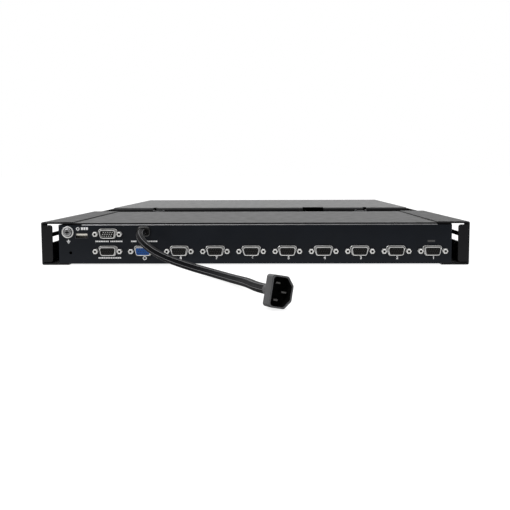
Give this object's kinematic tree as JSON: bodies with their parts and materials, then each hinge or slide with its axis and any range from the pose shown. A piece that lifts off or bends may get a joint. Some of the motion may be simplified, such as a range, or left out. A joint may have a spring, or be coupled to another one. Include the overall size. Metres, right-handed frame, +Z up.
{
  "type": "rack console drawer kvm switch",
  "caption": "Low rack drawer with a folding screen and a keyboard in front, and a black keyboard-video-mouse switch module with D sockets and a mains cord behind.",
  "frame": {"origin": "centre of the footprint, on the surface that the rails stand on, without the cord and plug", "axes": "+Y towards the port side, -Y towards the operator, +X to the operator's right, +Z up"},
  "size_m": [0.44, 0.9529, 0.0444],
  "materials": {
    "powder_coat": "satin black powder coat with a fine grain",
    "panel_paint": "black powder coat, satin",
    "slide_steel": "zinc plated",
    "black_screw": "black oxide",
    "nickel_shell": "bright nickel plate",
    "nickel_screw": "bright nickel plate",
    "insert_black": "moulded, slightly satin",
    "insert_blue": "moulded, slightly satin",
    "tongue_ivory": "moulded",
    "circuit_board": "solder mask",
    "component": "mixed",
    "bushing_nylon": "satin",
    "cord_jacket": "satin vinyl with faint lengthwise lines",
    "plug_vinyl": "satin vinyl",
    "plug_blade": "nickel plate",
    "deck_plastic": "fine moulded texture",
    "touch_surface": "very fine matt texture",
    "keycap": "fine moulded texture",
    "bezel_plastic": "fine moulded texture",
    "screen": "anti-glare film over a dark display",
    "rubber_stop": "matt"
  },
  "bodies": {
    "chassis": {"board_components": "component", "board_standoffs": "component", "chain_board": "circuit_board", "chain_in_insert": "insert_black", "chain_out_insert": "insert_black", "console_port_inserts": "insert_black", "cord_bushing": "bushing_nylon", "cover_screws": "black_screw", "front_tie_bar": "powder_coat", "ground_screw": "nickel_screw", "left_outer_slide": "slide_steel", "left_side_rail": "powder_coat", "main_board": "circuit_board", "module_base_pan": "powder_coat", "module_top_cover": "powder_coat", "monitor_port_insert": "insert_blue", "plug_body": "plug_vinyl", "plug_pins": "plug_blade", "port_jackscrews": "nickel_screw", "port_shells": "nickel_shell", "power_cord": "cord_jacket", "power_supply_board": "circuit_board", "rear_panel": "panel_paint", "recess_floor": "powder_coat", "right_outer_slide": "slide_steel", "right_side_rail": "powder_coat", "usb_port_shell": "nickel_shell", "usb_port_tongue": "tongue_ivory"},
    "middle_slides": {"left_middle_slide": "slide_steel", "right_middle_slide": "slide_steel"},
    "drawer": {"left_inner_slide": "slide_steel", "right_inner_slide": "slide_steel", "keyboard_tray": "powder_coat", "keyboard_deck": "deck_plastic", "keyboard_base": "deck_plastic", "touchpad": "touch_surface", "front_handle": "deck_plastic", "hinge_brackets": "slide_steel", "cable_clamp": "powder_coat"},
    "lid": {"lid_back_cover": "powder_coat", "lid_bezel": "bezel_plastic", "lcd_panel": "screen", "lcd_driver_board": "circuit_board", "lid_hinge_arms": "slide_steel", "hinge_pins": "slide_steel", "lid_bumpers": "rubber_stop"},
    "key_row_1": {"key_row_1": "keycap"},
    "key_row_2": {"key_row_2": "keycap"},
    "key_row_3": {"key_row_3": "keycap"},
    "key_row_4": {"key_row_4": "keycap"},
    "key_row_5": {"key_row_5": "keycap"},
    "key_row_6": {"key_row_6": "keycap"},
    "left_release_button": {"left_release_button": "deck_plastic"},
    "menu_button_1": {"menu_button_1": "bezel_plastic"},
    "menu_button_2": {"menu_button_2": "bezel_plastic"},
    "menu_button_3": {"menu_button_3": "bezel_plastic"},
    "right_release_button": {"right_release_button": "deck_plastic"},
    "screen_power_button": {"screen_power_button": "bezel_plastic"},
    "touchpad_left_button": {"touchpad_left_button": "touch_surface"},
    "touchpad_right_button": {"touchpad_right_button": "touch_surface"}
  },
  "joints": [
    {"name": "drawer_slide", "type": "slide", "parent": "chassis", "child": "drawer", "axis": [0, -1, 0], "range_m": [0, 0.4]},
    {"name": "middle_slide", "type": "slide", "parent": "chassis", "child": "middle_slides", "axis": [0, -1, 0], "range_m": [0, 0.2]},
    {"name": "lid_hinge", "type": "hinge", "parent": "drawer", "child": "lid", "pos_m": [0, 0.0095, 0.036], "axis": [-1, 0, 0], "range_deg": [0, 115]},
    {"name": "key_row_1_press", "type": "slide", "parent": "drawer", "child": "key_row_1", "axis": [0, 0, -1], "range_m": [0, 0.0024], "stiffness_N_per_m": 400, "springref_m": -0.004},
    {"name": "key_row_2_press", "type": "slide", "parent": "drawer", "child": "key_row_2", "axis": [0, 0, -1], "range_m": [0, 0.0024], "stiffness_N_per_m": 400, "springref_m": -0.004},
    {"name": "key_row_3_press", "type": "slide", "parent": "drawer", "child": "key_row_3", "axis": [0, 0, -1], "range_m": [0, 0.0024], "stiffness_N_per_m": 400, "springref_m": -0.004},
    {"name": "key_row_4_press", "type": "slide", "parent": "drawer", "child": "key_row_4", "axis": [0, 0, -1], "range_m": [0, 0.0024], "stiffness_N_per_m": 400, "springref_m": -0.004},
    {"name": "key_row_5_press", "type": "slide", "parent": "drawer", "child": "key_row_5", "axis": [0, 0, -1], "range_m": [0, 0.0024], "stiffness_N_per_m": 400, "springref_m": -0.004},
    {"name": "key_row_6_press", "type": "slide", "parent": "drawer", "child": "key_row_6", "axis": [0, 0, -1], "range_m": [0, 0.0024], "stiffness_N_per_m": 400, "springref_m": -0.004},
    {"name": "touchpad_left_press", "type": "slide", "parent": "drawer", "child": "touchpad_left_button", "axis": [0, 0, -1], "range_m": [0, 0.001], "stiffness_N_per_m": 400, "springref_m": -0.001},
    {"name": "touchpad_right_press", "type": "slide", "parent": "drawer", "child": "touchpad_right_button", "axis": [0, 0, -1], "range_m": [0, 0.001], "stiffness_N_per_m": 400, "springref_m": -0.001},
    {"name": "left_release", "type": "slide", "parent": "drawer", "child": "left_release_button", "axis": [1, 0, 0], "range_m": [0, 0.006], "stiffness_N_per_m": 150, "springref_m": -0.003},
    {"name": "right_release", "type": "slide", "parent": "drawer", "child": "right_release_button", "axis": [-1, 0, 0], "range_m": [0, 0.006], "stiffness_N_per_m": 150, "springref_m": -0.003},
    {"name": "menu_button_1_press", "type": "slide", "parent": "lid", "child": "menu_button_1", "axis": [0, 0, 1], "range_m": [0, 0.0007], "stiffness_N_per_m": 500, "springref_m": -0.001},
    {"name": "menu_button_2_press", "type": "slide", "parent": "lid", "child": "menu_button_2", "axis": [0, 0, 1], "range_m": [0, 0.0007], "stiffness_N_per_m": 500, "springref_m": -0.001},
    {"name": "menu_button_3_press", "type": "slide", "parent": "lid", "child": "menu_button_3", "axis": [0, 0, 1], "range_m": [0, 0.0007], "stiffness_N_per_m": 500, "springref_m": -0.001},
    {"name": "screen_power_button_press", "type": "slide", "parent": "lid", "child": "screen_power_button", "axis": [0, 0, 1], "range_m": [0, 0.0007], "stiffness_N_per_m": 500, "springref_m": -0.001}
  ],
  "couplings": [
    {"joint": "middle_slide", "follows": "drawer_slide", "ratio": 0.5}
  ]
}
